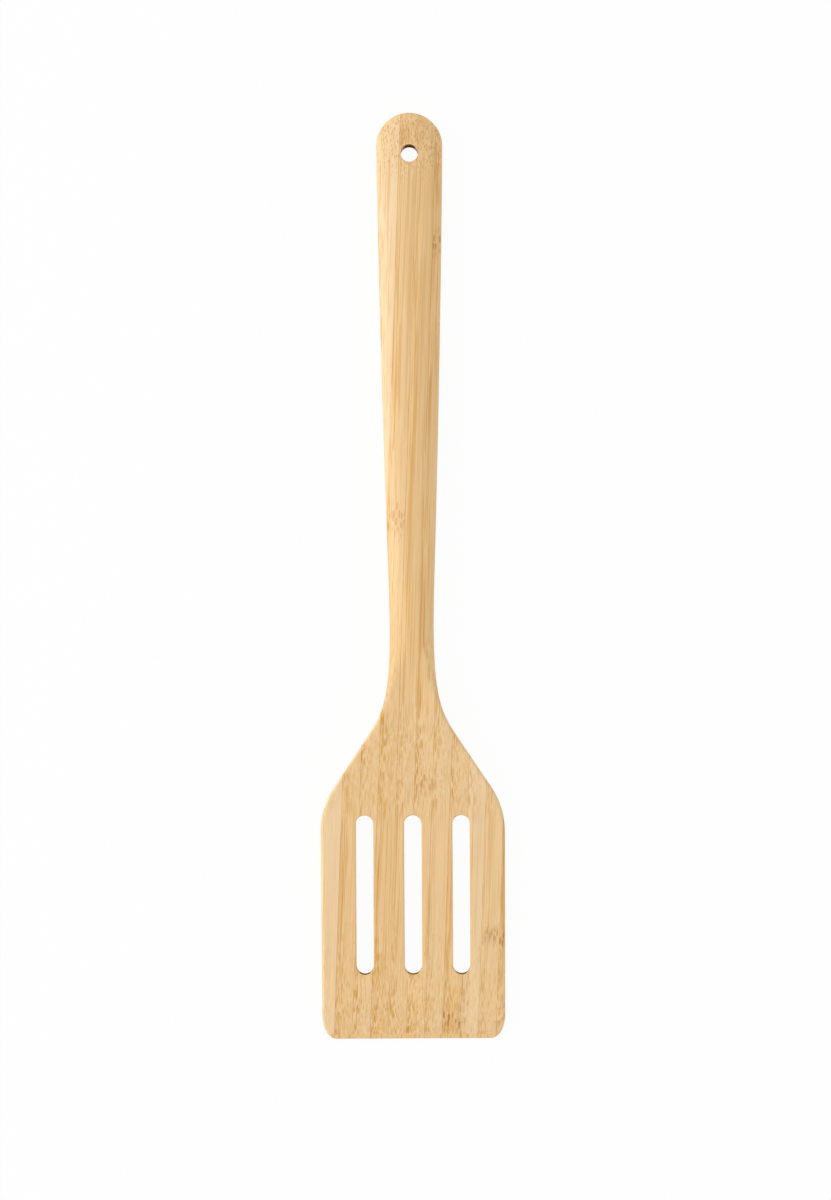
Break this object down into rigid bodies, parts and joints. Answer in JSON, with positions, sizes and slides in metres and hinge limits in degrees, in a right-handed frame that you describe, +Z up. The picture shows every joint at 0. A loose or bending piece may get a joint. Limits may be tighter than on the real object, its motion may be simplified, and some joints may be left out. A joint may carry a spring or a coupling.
{
  "type": "slotted spatula",
  "caption": "Bamboo turner with an oval handle, a narrow neck, a hanging hole and a flat blade with open slots that thins to a bevelled front edge.",
  "frame": {"origin": "under the middle of the length, on the plane of the flat back", "axes": "+Y along the spatula from the blade's front edge to the handle's end, +X across the blade, +Z up from the flat back"},
  "size_m": [0.0636, 0.32, 0.01],
  "materials": {
    "bamboo_pale": "sanded and oiled",
    "bamboo_straw": "sanded and oiled",
    "bamboo_honey": "sanded and oiled",
    "glue": "cured glue film"
  },
  "bodies": {
    "root": {"lath_01": "bamboo_pale", "lath_02": "bamboo_honey", "lath_02_handle": "bamboo_honey", "lath_03": "bamboo_straw", "lath_03_shoulder": "bamboo_straw", "lath_03_handle": "bamboo_straw", "lath_04": "bamboo_honey", "lath_05": "bamboo_straw", "lath_06": "bamboo_straw", "lath_07": "bamboo_straw", "lath_08": "bamboo_honey", "lath_09": "bamboo_pale", "lath_10": "bamboo_straw", "lath_11": "bamboo_honey", "glue_line_01": "glue", "glue_line_02": "glue", "glue_line_02_shoulder": "glue", "glue_line_02_handle": "glue", "glue_line_03": "glue", "glue_line_03_shoulder": "glue", "glue_line_03_handle": "glue", "glue_line_04": "glue", "glue_line_04_end": "glue", "glue_line_05": "glue", "glue_line_05_handle": "glue", "glue_line_06": "glue", "glue_line_07": "glue", "glue_line_08": "glue", "glue_line_08_shoulder": "glue", "glue_line_09": "glue", "glue_line_10": "glue"}
  },
  "joints": []
}
